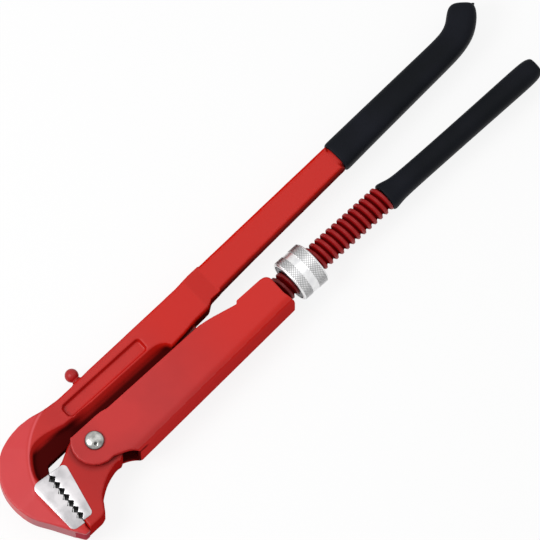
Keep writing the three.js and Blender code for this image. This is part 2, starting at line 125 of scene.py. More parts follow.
bpy.ops.mesh.primitive_plane_add(size=8, location=(0, 0, -0.0002))
floor = bpy.context.object
floor.name = "table_top"
table = bpy.data.materials.new("pale_table")
table.use_nodes = True
paper = table.node_tree
matt = paper.nodes["Principled BSDF"]
matt.inputs["Base Color"].default_value = (0.9, 0.9, 0.9, 1)
matt.inputs["Roughness"].default_value = 0.9
glow = paper.nodes.new("ShaderNodeEmission")
glow.inputs["Strength"].default_value = 1.0
glow_share = paper.nodes.new("ShaderNodeMath")
glow_share.operation = "MULTIPLY"
glow_share.inputs[1].default_value = 0.86
table_mix = paper.nodes.new("ShaderNodeMixShader")
paper.links.new(background_rays(paper), glow_share.inputs[0])
paper.links.new(glow_share.outputs[0], table_mix.inputs["Fac"])
paper.links.new(matt.outputs[0], table_mix.inputs[1])
paper.links.new(glow.outputs[0], table_mix.inputs[2])
paper.links.new(table_mix.outputs[0], paper.nodes["Material Output"].inputs["Surface"])
floor.data.materials.append(table)

# ---- Long arm -----------------------------------------------------------------------------------
# One drop forging from the hook jaw through the beam to the flat shank, in red enamel. The dies
# leave soft edges everywhere, so the solid's sharp ones are rounded over. The toothed land is
# ground bright afterwards, and is a piece of its own below.


def welded_copy(node, name):
    """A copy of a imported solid, with its loose triangles joined, as the one selected object."""
    bpy.ops.object.select_all(action="DESELECT")
    piece = bpy.data.objects.new(name, frame["nodes"][node].data.copy())
    bpy.context.collection.objects.link(piece)
    piece.data.materials.clear()
    bpy.context.view_layer.objects.active = piece
    piece.select_set(True)
    bpy.ops.object.mode_set(mode="EDIT")
    bpy.ops.mesh.select_all(action="SELECT")
    bpy.ops.mesh.remove_doubles(threshold=0.000004)
    bpy.ops.mesh.customdata_custom_splitnormals_clear()
    bpy.ops.object.mode_set(mode="OBJECT")
    return piece


def round_over(piece, grain, passes, keep):
    """Rounds every edge of a closed piece, as dies, tumbling and a coat of enamel do."""
    for name, kind in (("skin", "REMESH"), ("soften", "SMOOTH"), ("thin", "DECIMATE")):
        piece.modifiers.new(name, kind)
    piece.modifiers["skin"].mode = "VOXEL"
    piece.modifiers["skin"].voxel_size = grain
    piece.modifiers["soften"].factor = 0.5
    piece.modifiers["soften"].iterations = passes
    piece.modifiers["thin"].ratio = keep
    for name in ("skin", "soften", "thin"):
        bpy.ops.object.modifier_apply(modifier=name)
    bpy.ops.object.shade_smooth()


def cut_with(piece, cutter, operation="DIFFERENCE"):
    """Cuts, joins or crosses a piece with another, which is then thrown away."""
    bpy.context.view_layer.objects.active = piece
    knife = piece.modifiers.new("cut", "BOOLEAN")
    knife.operation = operation
    knife.object = cutter
    bpy.ops.object.modifier_apply(modifier="cut")
    bpy.data.objects.remove(cutter)


tooth_middle = at(0, -6.4)
tooth_lean = math.radians(6.4)


def tooth_room(name, side):
    """A block over the tooth row: where the land's own steel goes instead of the red forging."""
    bpy.ops.object.select_all(action="DESELECT")
    bpy.ops.mesh.primitive_cube_add(size=1)
    room = bpy.context.object
    room.name = name
    room.scale = (0.0135, 0.0268, 0.03)
    room.rotation_euler = (0, 0, -tooth_lean)
    room.location = tooth_middle + Vector((side * 0.0031, 0, 0))
    bpy.ops.object.transform_apply()
    return room


def enamel(name, tone=(0.5, 0.018, 0.014), deep=(0.42, 0.012, 0.011)):
    """Red enamel sprayed thickly on steel: a slightly uneven tone, and orange peel in the gloss."""
    paint = bpy.data.materials.new(name)
    paint.use_nodes = True
    tree = paint.node_tree
    skin = tree.nodes["Principled BSDF"]
    skin.inputs["Specular IOR Level"].default_value = 0.3
    where = tree.nodes.new("ShaderNodeTexCoord")
    cloud = tree.nodes.new("ShaderNodeTexNoise")
    cloud.inputs["Scale"].default_value = 26
    cloud.inputs["Detail"].default_value = 3
    tint = tree.nodes.new("ShaderNodeValToRGB")
    tint.color_ramp.elements[0].position = 0.35
    tint.color_ramp.elements[0].color = (*deep, 1)
    tint.color_ramp.elements[1].position = 0.65
    tint.color_ramp.elements[1].color = (*tone, 1)
    gloss = tree.nodes.new("ShaderNodeMapRange")
    gloss.inputs["To Min"].default_value = 0.34
    gloss.inputs["To Max"].default_value = 0.48
    peel = tree.nodes.new("ShaderNodeTexNoise")
    peel.inputs["Scale"].default_value = 620
    peel.inputs["Detail"].default_value = 2
    bump = tree.nodes.new("ShaderNodeBump")
    bump.inputs["Strength"].default_value = 0.12
    bump.inputs["Distance"].default_value = 0.0002
    tree.links.new(where.outputs["Object"], cloud.inputs["Vector"])
    tree.links.new(where.outputs["Object"], peel.inputs["Vector"])
    tree.links.new(cloud.outputs["Fac"], tint.inputs["Fac"])
    tree.links.new(cloud.outputs["Fac"], gloss.inputs["Value"])
    tree.links.new(gloss.outputs["Result"], skin.inputs["Roughness"])
    tree.links.new(tint.outputs["Color"], skin.inputs["Base Color"])
    tree.links.new(peel.outputs["Fac"], bump.inputs["Height"])
    tree.links.new(bump.outputs["Normal"], skin.inputs["Normal"])
    return paint


def share_along(paint, axis, start, end, both_ways=False):
    """Grows from 0 to 1 between two places on an axis, in millimetres from the wrench's zero."""
    tree = paint.node_tree
    where = tree.nodes.new("ShaderNodeTexCoord")
    split = tree.nodes.new("ShaderNodeSeparateXYZ")
    place = tree.nodes.new("ShaderNodeMath")
    place.operation = "SUBTRACT"
    place.inputs[1].default_value = zero["XYZ".index(axis)]
    grow = tree.nodes.new("ShaderNodeMapRange")
    grow.interpolation_type = "SMOOTHSTEP"
    grow.inputs["From Min"].default_value = start / 1000
    grow.inputs["From Max"].default_value = end / 1000
    tree.links.new(where.outputs["Object"], split.inputs[0])
    tree.links.new(split.outputs[axis], place.inputs[0])
    here = place.outputs[0]
    if both_ways:
        size = tree.nodes.new("ShaderNodeMath")
        size.operation = "ABSOLUTE"
        tree.links.new(here, size.inputs[0])
        here = size.outputs[0]
    tree.links.new(here, grow.inputs["Value"])
    return grow.outputs["Result"]


def share_round(paint, x, y, start, end, around="Z"):
    """Grows from 0 to 1 between two distances, in millimetres, from a line through (x, y). The
    line stands upright, or runs along the rod for "X"."""
    tree = paint.node_tree
    where = tree.nodes.new("ShaderNodeTexCoord")
    from_line = tree.nodes.new("ShaderNodeMapping")
    from_line.inputs["Location"].default_value = tuple(-at(x, y))
    flat = tree.nodes.new("ShaderNodeVectorMath")
    flat.operation = "MULTIPLY"
    flat.inputs[1].default_value = (0, 1, 1) if around == "X" else (1, 1, 0)
    far = tree.nodes.new("ShaderNodeVectorMath")
    far.operation = "LENGTH"
    grow = tree.nodes.new("ShaderNodeMapRange")
    grow.interpolation_type = "SMOOTHSTEP"
    grow.inputs["From Min"].default_value = start / 1000
    grow.inputs["From Max"].default_value = end / 1000
    tree.links.new(where.outputs["Object"], from_line.inputs["Vector"])
    tree.links.new(from_line.outputs["Vector"], flat.inputs[0])
    tree.links.new(flat.outputs["Vector"], far.inputs[0])
    tree.links.new(far.outputs["Value"], grow.inputs["Value"])
    return grow.outputs["Result"]


def tint_where(paint, colour, strength, *shares):
    """Mixes a colour into a paint where all the given shares meet."""
    tree = paint.node_tree
    share = None
    for other in shares:
        meet = tree.nodes.new("ShaderNodeMath")
        meet.operation = "MULTIPLY"
        meet.inputs[0].default_value = strength
        if share is not None:
            tree.links.new(share, meet.inputs[0])
        tree.links.new(other, meet.inputs[1])
        share = meet.outputs[0]
    skin = tree.nodes["Principled BSDF"]
    before = skin.inputs["Base Color"].links[0].from_socket
    mix = tree.nodes.new("ShaderNodeMix")
    mix.data_type = "RGBA"
    mix.inputs["B"].default_value = (*colour, 1)
    tree.links.new(share, mix.inputs["Factor"])
    tree.links.new(before, mix.inputs["A"])
    tree.links.new(mix.outputs["Result"], skin.inputs["Base Color"])


def lay_paint(piece, paint, sheltered):
    """Paints a piece. Where sheltered(place, normal) holds, the faces take a copy without gloss, as
    painted shade.
    """
    gloss_free_shade = paint.copy()
    gloss_free_shade.name = paint.name + "_painted_shade"
    gloss_free_shade.node_tree.nodes["Principled BSDF"].inputs["Specular IOR Level"].default_value = 0
    piece.data.materials.append(paint)
    piece.data.materials.append(gloss_free_shade)
    for face in piece.data.polygons:
        face.material_index = int(sheltered((face.center - zero) * 1000, face.normal))


def shave_flat(piece, half_thick):
    """Cuts both faces of a forging back to one plane, so that its ground land can be laid on."""
    for side in (-1, 1):
        bpy.ops.object.select_all(action="DESELECT")
        bpy.ops.mesh.primitive_cube_add(size=1)
        slab = bpy.context.object
        slab.scale = (0.09, 0.09, 0.01)
        slab.location = at(20, 0, side * (half_thick + 5))
        bpy.ops.object.transform_apply()
        cut_with(piece, slab)


head_half = 6.9
shaved_off = 0.03
upright_below = 0.75  # the part of a face's normal along Z, under which it counts as a wall
hook_x, hook_y = 30, -5  # the middle of the hook's curve
long_arm = welded_copy("long_arm", "long_arm_forging")
cut_with(long_arm, tooth_room("hook_tooth_room", 1))
shave_flat(long_arm, head_half - shaved_off)
round_over(long_arm, 0.00045, 6, 0.45)

# The tints below change the enamel by place, so they stay where they are in any pose and under any
# lamp. The pale crescent and the ridge band on the hook are painted light, and the dark tints in
# the throat, under the beam and on the walls are painted shade.
red_arm = enamel("red_enamel_arm")
# Painted light: the hook's outer crescent is painted paler and pinker.
tint_where(
    red_arm, (0.6, 0.055, 0.065), 0.55,
    share_round(red_arm, hook_x, hook_y, 38.6, 41), share_along(red_arm, "X", 24, 16),
)
# Painted highlight: a narrow pale pink band along the hook's ridge.
tint_where(
    red_arm, (0.72, 0.12, 0.14), 0.5,
    share_round(red_arm, hook_x, hook_y, 38, 38.8), share_round(red_arm, hook_x, hook_y, 39.8, 39),
    share_along(red_arm, "X", 24, 18), share_along(red_arm, "Y", 7, 9),
)
tint_where(red_arm, (0.54, 0.009, 0.003), 0.9, share_along(red_arm, "X", 66, 95))
# Painted shade: near black in the throat and on the web floor beside the casing.
for along, top, outer in (
    ((22, 27, 90, 88), (19, 15.5), 99),
    ((-7, -5, 38, 26), (22.5, 19.5), 37),
):
    tint_where(
        red_arm, (0.03, 0.002, 0.002), 0.95,
        share_along(red_arm, "Z", head_half - 0.3, 4.4, both_ways=True),
        share_along(red_arm, "X", along[0], along[1]),
        share_along(red_arm, "X", along[2], along[3]),
        share_along(red_arm, "Y", -21, -18), share_along(red_arm, "Y", top[0], top[1]),
        share_round(red_arm, hook_x, hook_y, outer + 1, outer - 0.5),
    )
# Painted shade: dark red on the lug and tongue under the beam, inside the casing.
tint_where(
    red_arm, (0.2, 0.013, 0.012), 1,
    share_along(red_arm, "Z", 4, 3, both_ways=True), share_along(red_arm, "X", 88, 92),
    share_along(red_arm, "Y", 29, 27),
)
# Painted shade: dark on the block's low sides, just behind the slot.
tint_where(
    red_arm, (0.1, 0.006, 0.006), 1,
    share_along(red_arm, "Z", 6.4, 5.4, both_ways=True), share_along(red_arm, "X", 88, 92),
    share_along(red_arm, "X", 103, 101), share_along(red_arm, "Y", 24, 20),
)
# Painted shade and sheen: a dull pinkish red on the hook's lower outer wall.
tint_where(
    red_arm, (0.34, 0.05, 0.07), 0.8,
    share_along(red_arm, "Z", 6.2, 4.6, both_ways=True), share_along(red_arm, "X", 12, 4),
    share_along(red_arm, "Y", 2, -4), share_round(red_arm, hook_x, hook_y, 36.5, 38),
)


def arm_sheltered(place, normal):
    """Faces that take the glossless copy, as painted shade: the forging's upright walls, and the
    deep floor beside the throat and under the beam.
    """
    reach = math.hypot(place.x - hook_x, place.y - hook_y)
    outer_wall = place.x < 12 and (reach > 38 or place.y < -19)
    beam_floor = abs(place.z) < 4.4 and place.y < 20.5 and -8 < place.x < 88
    in_throat = reach < 37 and -19 < place.y < 23.5 and place.x < 27
    throat = abs(place.z) < head_half - 0.3 and in_throat
    return beam_floor or throat or (abs(normal.z) < upright_below and not outer_wall)


lay_paint(long_arm, red_arm, arm_sheltered)
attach(long_arm, "long_arm")
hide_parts("long_arm")

# ---- Ground lands -------------------------------------------------------------------------------
# The toothed faces of both jaws, where the paint is ground off: bright steel about 0.3 mm proud of
# the enamel, with seven V notches across it whose flanks are painted near black as the shade inside
# the notches.


def toothed_land(name, side, half_thick, top, bottom):
    """side is -1 on the hook and 1 on the lower jaw. top and bottom give each end of the land:
    its distance past the last tooth, the land's width there, and the radius of its back corner."""
    teeth = 7
    pitch = 0.0037
    half_row = teeth * pitch / 2
    seat = 0.00015
    bpy.ops.object.select_all(action="DESELECT")
    bpy.ops.mesh.primitive_grid_add(x_subdivisions=2 * teeth, y_subdivisions=1, size=1)
    land = bpy.context.object
    land.name = name
    bpy.ops.object.mode_set(mode="EDIT")
    bpy.ops.transform.resize(value=(2 * half_row, 0.006, 1))
    bpy.ops.transform.translate(value=(0, -0.003, 0))
    for end, spare in ((1, top[0]), (-1, bottom[0])):
        bpy.ops.mesh.select_all(action="DESELECT")
        net = bmesh.from_edit_mesh(land.data)
        for vert in net.verts:
            vert.select_set(vert.co.x * end > half_row - 1e-5)
        net.select_flush_mode()
        bpy.ops.mesh.extrude_region_move(TRANSFORM_OT_translate={"value": (end * spare, 0, 0)})
    net = bmesh.from_edit_mesh(land.data)
    low_x, high_x = -half_row - bottom[0], half_row + top[0]
    for vert in net.verts:
        along = (vert.co.x - low_x) / (high_x - low_x)
        if vert.co.y < -0.003:
            vert.co.y = -(bottom[1] + (top[1] - bottom[1]) * along)
        elif abs(vert.co.x) < half_row and round((vert.co.x + half_row) / pitch * 2) % 2:
            vert.co.y -= pitch / 2
    bpy.ops.mesh.select_all(action="SELECT")
    bpy.ops.mesh.extrude_region_move(TRANSFORM_OT_translate={"value": (0, 0, 2 * half_thick)})
    bpy.ops.mesh.select_all(action="SELECT")
    bpy.ops.transform.translate(value=(0, -seat, -half_thick))
    bpy.ops.mesh.normals_make_consistent(inside=False)
    bpy.ops.mesh.dissolve_limited(angle_limit=math.radians(1))
    for end_x, radius in ((high_x, top[2]), (low_x, bottom[2])):
        bpy.ops.mesh.select_all(action="DESELECT")
        net = bmesh.from_edit_mesh(land.data)
        for vert in net.verts:
            vert.select_set(vert.co.y < -0.004 and abs(vert.co.x - end_x) < 1e-5)
        net.select_flush_mode()
        bpy.ops.mesh.bevel(offset=radius, segments=8, affect="EDGES")
    bpy.ops.object.mode_set(mode="OBJECT")
    land.scale = (1, side, 1)
    land.rotation_euler = (0, 0, math.pi / 2 - tooth_lean)
    land.location = tooth_middle
    bpy.ops.object.transform_apply()
    bpy.ops.object.mode_set(mode="EDIT")
    bpy.ops.mesh.select_all(action="SELECT")
    bpy.ops.mesh.normals_make_consistent(inside=False)
    bpy.ops.object.mode_set(mode="OBJECT")
    edge_break = land.modifiers.new("edge_break", "BEVEL")
    edge_break.width = 0.00018
    edge_break.segments = 2
    edge_break.limit_method = "ANGLE"
    edge_break.angle_limit = math.radians(35)
    bpy.ops.object.modifier_apply(modifier="edge_break")
    bpy.ops.object.shade_smooth_by_angle(angle=math.radians(25))
    return land


def ground_steel(name):
    """Steel off a belt grinder: pale, with fine scratches across the jaw and faint dark stains."""
    steel = bpy.data.materials.new(name)
    steel.use_nodes = True
    tree = steel.node_tree
    skin = tree.nodes["Principled BSDF"]
    skin.inputs["Metallic"].default_value = 0.75
    where = tree.nodes.new("ShaderNodeTexCoord")
    stretch = tree.nodes.new("ShaderNodeMapping")
    stretch.inputs["Rotation"].default_value = (0, 0, tooth_lean)
    stretch.inputs["Scale"].default_value = (14, 1, 14)
    scratch = tree.nodes.new("ShaderNodeTexNoise")
    scratch.inputs["Scale"].default_value = 260
    scratch.inputs["Detail"].default_value = 6
    stain = tree.nodes.new("ShaderNodeTexNoise")
    stain.inputs["Scale"].default_value = 120
    stain.inputs["Detail"].default_value = 4
    tint = tree.nodes.new("ShaderNodeValToRGB")
    tint.color_ramp.elements[0].position = 0.3
    tint.color_ramp.elements[0].color = (0.36, 0.35, 0.36, 1)
    tint.color_ramp.elements[1].position = 0.6
    tint.color_ramp.elements[1].color = (0.56, 0.54, 0.55, 1)
    gloss = tree.nodes.new("ShaderNodeMapRange")
    gloss.inputs["To Min"].default_value = 0.28
    gloss.inputs["To Max"].default_value = 0.5
    bump = tree.nodes.new("ShaderNodeBump")
    bump.inputs["Strength"].default_value = 0.2
    bump.inputs["Distance"].default_value = 0.00005
    tree.links.new(where.outputs["Object"], stretch.inputs["Vector"])
    tree.links.new(stretch.outputs["Vector"], scratch.inputs["Vector"])
    tree.links.new(where.outputs["Object"], stain.inputs["Vector"])
    tree.links.new(stain.outputs["Fac"], tint.inputs["Fac"])
    tree.links.new(tint.outputs["Color"], skin.inputs["Base Color"])
    tree.links.new(scratch.outputs["Fac"], gloss.inputs["Value"])
    tree.links.new(gloss.outputs["Result"], skin.inputs["Roughness"])
    tree.links.new(scratch.outputs["Fac"], bump.inputs["Height"])
    tree.links.new(bump.outputs["Normal"], skin.inputs["Normal"])
    return steel


def dark_flanks(land, bright, dark):
    """Gives the faces inside the V notches the near-black painted shade and all others the bright
    steel.
    """
    land.data.materials.append(bright)
    land.data.materials.append(dark)
    row = Vector((math.sin(tooth_lean), math.cos(tooth_lean), 0))
    row_reach = 0.0125
    for face in land.data.polygons:
        along = abs((face.center - tooth_middle).dot(row))
        lean = abs(face.normal.dot(row))
        wall = abs(face.normal.z) < 0.3
        face.material_index = int(along < row_reach and wall and 0.4 < lean < 0.95)


land_steel = ground_steel("ground_land_steel")
# Painted shade: near-black steel for the notch flanks, standing for the shade inside the notches.
notch_shade_steel = bpy.data.materials.new("notch_painted_shade")
notch_shade_steel.use_nodes = True
notch_shade_skin = notch_shade_steel.node_tree.nodes["Principled BSDF"]
notch_shade_skin.inputs["Base Color"].default_value = (0.02, 0.02, 0.021, 1)
notch_shade_skin.inputs["Roughness"].default_value = 0.6
notch_shade_skin.inputs["Metallic"].default_value = 0.3

land_proud = 0.00025
hook_land = toothed_land(
    "hook_jaw_land", -1, head_half / 1000 + land_proud, (0.0012, 0.0104, 0.004),
    (0.0023, 0.0069, 0.0024),
)
dark_flanks(hook_land, land_steel, notch_shade_steel)
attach(hook_land, "long_arm")

# ---- Lower jaw ----------------------------------------------------------------------------------
# The heel jaw, a forging in the same enamel with a concave heel and a shoulder that meets the
# casing. It is grooved to straddle the arm's web, and rocks on its rivet.
lower_jaw = welded_copy("lower_jaw", "lower_jaw_forging")
cut_with(lower_jaw, tooth_room("heel_tooth_room", -1))
jaw_half = 7.8
shave_flat(lower_jaw, jaw_half - shaved_off)
round_over(lower_jaw, 0.0004, 5, 0.5)
red_jaw = enamel("red_enamel_jaw", (0.43, 0.009, 0.006), (0.36, 0.006, 0.004))
# Painted shadow: the jaw is darker round the rivet, under the casing's lobe.
tint_where(
    red_jaw, (0.24, 0.005, 0.005), 0.6, share_round(red_jaw, rivet_x, rivet_y, 15, 12),
)
# Painted shade: near black on the jaw's shoulder past 34.5 mm, in the notch under the cheek.
tint_where(red_jaw, (0.05, 0.003, 0.003), 0.9, share_along(red_jaw, "X", 32.5, 34.5))
tint_where(red_jaw, (0.4, 0.01, 0.009), 1, share_along(red_jaw, "Z", 7.3, 6.4, both_ways=True))
# Painted shade: the jaw's upright walls take the glossless copy.
lay_paint(lower_jaw, red_jaw, lambda place, normal: abs(normal.z) < upright_below)
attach(lower_jaw, "lower_jaw")
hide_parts("lower_jaw")

jaw_land = toothed_land(
    "lower_jaw_land", 1, jaw_half / 1000 + land_proud, (0.0011, 0.0094, 0.003),
    (0.0011, 0.0055, 0.0019),
)
dark_flanks(jaw_land, land_steel, notch_shade_steel)
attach(jaw_land, "lower_jaw")

# ---- Casing -------------------------------------------------------------------------------------
# Sheet steel folded into a channel: two cheeks with a round lobe at the jaw, and a web on the
# far side with a generous bend. Its sheared edges are softened by the enamel.
casing = welded_copy("casing", "casing_channel")
round_over(casing, 0.00045, 8, 0.5)
red_casing = enamel("red_enamel_casing", (0.5, 0.025, 0.024), (0.38, 0.017, 0.017))
tint_where(red_casing, (0.57, 0.011, 0.005), 0.9, share_along(red_casing, "X", 60, 125))
# Painted light: the folded web's outer wall and bend are painted a lighter red.
tint_where(
    red_casing, (0.56, 0.026, 0.024), 1, share_along(red_casing, "Z", 11.2, 9, both_ways=True),
    share_along(red_casing, "Y", -6, -9),
)
# Painted shade: near black inside the channel's front, seen through the notch below the lobe.
tint_where(
    red_casing, (0.05, 0.003, 0.003), 0.9, share_along(red_casing, "Z", 9.6, 8.9, both_ways=True),
    share_along(red_casing, "Y", -14.8, -14.2), share_along(red_casing, "X", 47, 44),
)


def casing_sheltered(place, normal):
    """Faces that take the glossless copy, as painted shade: the inside of the channel, and the
    outside of its folded web.
    """
    return abs(place.z) < 9.2 or (place.y < -6 and abs(normal.z) < upright_below)


lay_paint(casing, red_casing, casing_sheltered)
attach(casing, "casing")
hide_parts("casing")

# ---- Jaw rivet ----------------------------------------------------------------------------------
# Bright steel. The upper end is hammered to a dome with a small pit where the punch slipped,
# and the lower end is spread into a countersink, flush with the cheek.


def turned(name, outline, axis, centre, steps, closed=False):
    """A turned piece: an outline of (along, radius) in millimetres, spun about an axis."""
    bpy.ops.object.select_all(action="DESELECT")
    mesh = bpy.data.meshes.new(name)
    count = len(outline)
    spots = []
    for along, radius in outline:
        along, radius = along / 1000, radius / 1000
        spot = {"X": (along, radius, 0), "Y": (radius, along, 0), "Z": (radius, 0, along)}
        spots.append(spot[axis])
    sides = [(i, (i + 1) % count) for i in range(count if closed else count - 1)]
    mesh.from_pydata(spots, sides, [])
    piece = bpy.data.objects.new(name, mesh)
    bpy.context.collection.objects.link(piece)
    bpy.context.view_layer.objects.active = piece
    piece.select_set(True)
    bpy.ops.object.mode_set(mode="EDIT")
    bpy.ops.mesh.select_all(action="SELECT")
    turn_axis = {"X": (1, 0, 0), "Y": (0, 1, 0), "Z": (0, 0, 1)}[axis]
    bpy.ops.mesh.spin(steps=steps, angle=2 * math.pi, center=(0, 0, 0), axis=turn_axis)
    bpy.ops.mesh.select_all(action="SELECT")
    bpy.ops.mesh.remove_doubles(threshold=0.000002)
    bpy.ops.mesh.select_all(action="SELECT")
    bpy.ops.mesh.normals_make_consistent(inside=False)
    bpy.ops.object.mode_set(mode="OBJECT")
    piece.location = centre
    bpy.ops.object.transform_apply()
    return piece


rivet_low, rivet_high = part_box("jaw_rivet")
rivet_foot = (rivet_low.z - zero.z) * 1000
rivet_crown = (rivet_high.z - zero.z) * 1000
head_radius = 4.75
head_rise = 2.2
head_seat = rivet_crown - head_rise
dome = [
    (head_seat + head_rise * math.sin(turn) ** 0.9, head_radius * math.cos(turn))
    for turn in (math.radians(5 + 8.5 * step) for step in range(10))
]
rivet = turned(
    "jaw_rivet_domed",
    [
        (rivet_foot, 0), (rivet_foot, 4.7), (rivet_foot + 1.7, 3.2), (head_seat, 3.2),
        (head_seat, 4.5), *dome, (rivet_crown, 0),
    ],
    "Z", at(rivet_x, rivet_y), 56,
)
bpy.ops.object.mode_set(mode="EDIT")
bpy.ops.mesh.select_all(action="DESELECT")
pit_x, pit_y = 27.1, 2.2
pit = at(pit_x, pit_y, head_seat + 1.9)
net = bmesh.from_edit_mesh(rivet.data)
for vert in net.verts:
    vert.select_set((vert.co - pit).length < 0.0007)
net.select_flush_mode()
bpy.ops.transform.translate(
    value=(0, 0, -0.0007), use_proportional_edit=True, proportional_size=0.0009,
)
bpy.ops.object.mode_set(mode="OBJECT")
bpy.ops.object.shade_smooth_by_angle(angle=math.radians(40))


def worn_steel(name, pale, dark, rough=(0.22, 0.4)):
    """Bare steel with faint stains and a slightly uneven polish."""
    steel = bpy.data.materials.new(name)
    steel.use_nodes = True
    tree = steel.node_tree
    skin = tree.nodes["Principled BSDF"]
    skin.inputs["Metallic"].default_value = 1.0
    where = tree.nodes.new("ShaderNodeTexCoord")
    stain = tree.nodes.new("ShaderNodeTexNoise")
    stain.inputs["Scale"].default_value = 330
    stain.inputs["Detail"].default_value = 5
    tint = tree.nodes.new("ShaderNodeValToRGB")
    tint.color_ramp.elements[0].position = 0.32
    tint.color_ramp.elements[0].color = (*dark, 1)
    tint.color_ramp.elements[1].position = 0.62
    tint.color_ramp.elements[1].color = (*pale, 1)
    gloss = tree.nodes.new("ShaderNodeMapRange")
    gloss.inputs["To Min"].default_value = rough[0]
    gloss.inputs["To Max"].default_value = rough[1]
    bump = tree.nodes.new("ShaderNodeBump")
    bump.inputs["Strength"].default_value = 0.25
    bump.inputs["Distance"].default_value = 0.00006
    tree.links.new(where.outputs["Object"], stain.inputs["Vector"])
    tree.links.new(stain.outputs["Fac"], tint.inputs["Fac"])
    tree.links.new(tint.outputs["Color"], skin.inputs["Base Color"])
    tree.links.new(stain.outputs["Fac"], gloss.inputs["Value"])
    tree.links.new(gloss.outputs["Result"], skin.inputs["Roughness"])
    tree.links.new(stain.outputs["Fac"], bump.inputs["Height"])
    tree.links.new(bump.outputs["Normal"], skin.inputs["Normal"])
    return steel


rivet_steel = worn_steel("hammered_rivet_steel", (0.44, 0.44, 0.42), (0.2, 0.2, 0.19))
# Painted shade: a dark ring round the edge of the rivet's dome.
tint_where(
    rivet_steel, (0.05, 0.05, 0.05), 0.8, share_round(rivet_steel, rivet_x, rivet_y, 3.9, 4.7),
)
# Painted shade: dark in the punch pit.
tint_where(
    rivet_steel, (0.03, 0.03, 0.03), 0.85, share_round(rivet_steel, pit_x, pit_y, 1.1, 0.6),
)
rivet.data.materials.append(rivet_steel)
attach(rivet, "casing")
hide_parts("jaw_rivet")

# ---- Spring rivet -------------------------------------------------------------------------------
# It runs through the beam and holds the leaf spring. Its ball head stands on the beam's outer
# edge and is painted over with the arm.
stud_low, stud_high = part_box("spring_rivet")
stud_foot = (stud_low.y - zero.y) * 1000
ball_top = (stud_high.y - zero.y) * 1000
ball_radius = 3.4
beam_edge = 33.9
ball = [
    (ball_top - ball_radius + ball_radius * math.sin(turn), ball_radius * math.cos(turn))
    for turn in (math.radians(-52 + 10 * step) for step in range(15))
]
stud = turned(
    "spring_rivet_ball",
    [
        (stud_foot, 0), (stud_foot, 2.2), (stud_foot + 0.9, 2.6), (stud_foot + 0.9, 2),
        (beam_edge, 2), (beam_edge, 2.35), *ball, (ball_top, 0),
    ],
    "Y", at(43.9, 0), 36,
)
bpy.ops.object.shade_smooth_by_angle(angle=math.radians(50))
stud.data.materials.append(enamel("red_enamel_stud", (0.42, 0.012, 0.014), (0.33, 0.008, 0.009)))
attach(stud, "long_arm")
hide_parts("spring_rivet")

# ---- Leaf spring, pivot pin and thrust ring -----------------------------------------------------
# An oiled spring-steel strip under the web, which shows when the jaws are open, the pin hidden in
# the casing, and the ring in the nut's front recess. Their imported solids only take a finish.
oiled = worn_steel("oiled_spring_steel", (0.16, 0.16, 0.17), (0.06, 0.06, 0.065), (0.3, 0.5))
for name in ("leaf_spring", "arm_pivot_pin", "nut_thrust_ring"):
    solid = frame["nodes"][name]
    solid.data.materials.clear()
    solid.data.materials.append(oiled)

# ---- Short arm ----------------------------------------------------------------------------------
# A forging with a fork at the front, hidden in the casing. Behind it the rod is turned and cut
# with a coarse rounded right-hand thread, and all of it is sprayed red, thread included.
rod_cut = 143.9  # the forged front ends here, and the thread takes over just before it
thread_from, thread_to = 143.8, 212.8
helix_from, helix_turns = 140.5, 21
short_arm = welded_copy("short_arm", "short_arm_rod")
bpy.ops.object.mode_set(mode="EDIT")
bpy.ops.mesh.select_all(action="SELECT")
bpy.ops.mesh.bisect(plane_co=at(rod_cut, 0), plane_no=(1, 0, 0), use_fill=True, clear_outer=True)
bpy.ops.object.mode_set(mode="OBJECT")
thread_pitch = 3.6
thread_root = 5.6
thread_crest = 7.05
bpy.ops.object.select_all(action="DESELECT")
ridge = bpy.data.meshes.new("thread_ridge")
ridge_steps = 12
ridge_spots = []
for step in range(ridge_steps + 1):
    swell = 0.5 - 0.5 * math.cos(2 * math.pi * step / ridge_steps)
    rise = min(1.0, 1.25 * swell ** 0.9)
    ridge_spots.append((
        thread_pitch / 1000 * step / ridge_steps,
        (thread_root + (thread_crest - thread_root) * rise) / 1000,
        0,
    ))
ridge.from_pydata(ridge_spots, [(i, i + 1) for i in range(ridge_steps)], [])
thread = bpy.data.objects.new("thread", ridge)
bpy.context.collection.objects.link(thread)
bpy.context.view_layer.objects.active = thread
thread.select_set(True)
helix = thread.modifiers.new("helix", "SCREW")
helix.axis = "X"
helix.angle = 2 * math.pi
helix.screw_offset = thread_pitch / 1000
helix.iterations = helix_turns
helix.steps = 40
helix.render_steps = 40
helix.use_merge_vertices = True
helix.merge_threshold = 0.00001
bpy.ops.object.modifier_apply(modifier="helix")
thread.location = at(helix_from, 0)
bpy.ops.object.transform_apply()
bpy.ops.object.mode_set(mode="EDIT")
for place, direction in ((at(thread_from, 0), (-1, 0, 0)), (at(thread_to, 0), (1, 0, 0))):
    bpy.ops.mesh.select_all(action="SELECT")
    bpy.ops.mesh.bisect(plane_co=place, plane_no=direction, use_fill=True, clear_outer=True)
bpy.ops.mesh.select_all(action="SELECT")
bpy.ops.mesh.normals_make_consistent(inside=False)
bpy.ops.object.mode_set(mode="OBJECT")
short_arm.select_set(True)
bpy.context.view_layer.objects.active = short_arm
bpy.ops.object.join()
bpy.ops.object.shade_smooth_by_angle(angle=math.radians(40))
red_rod = enamel("red_enamel_rod", (0.32, 0.006, 0.007), (0.25, 0.004, 0.005))
# Painted shade: the thread's roots darken towards near black.
tint_where(
    red_rod, (0.06, 0.001, 0.001), 0.9,
    share_round(red_rod, 0, 0, thread_crest - 0.4, thread_root + 0.1, around="X"),
)
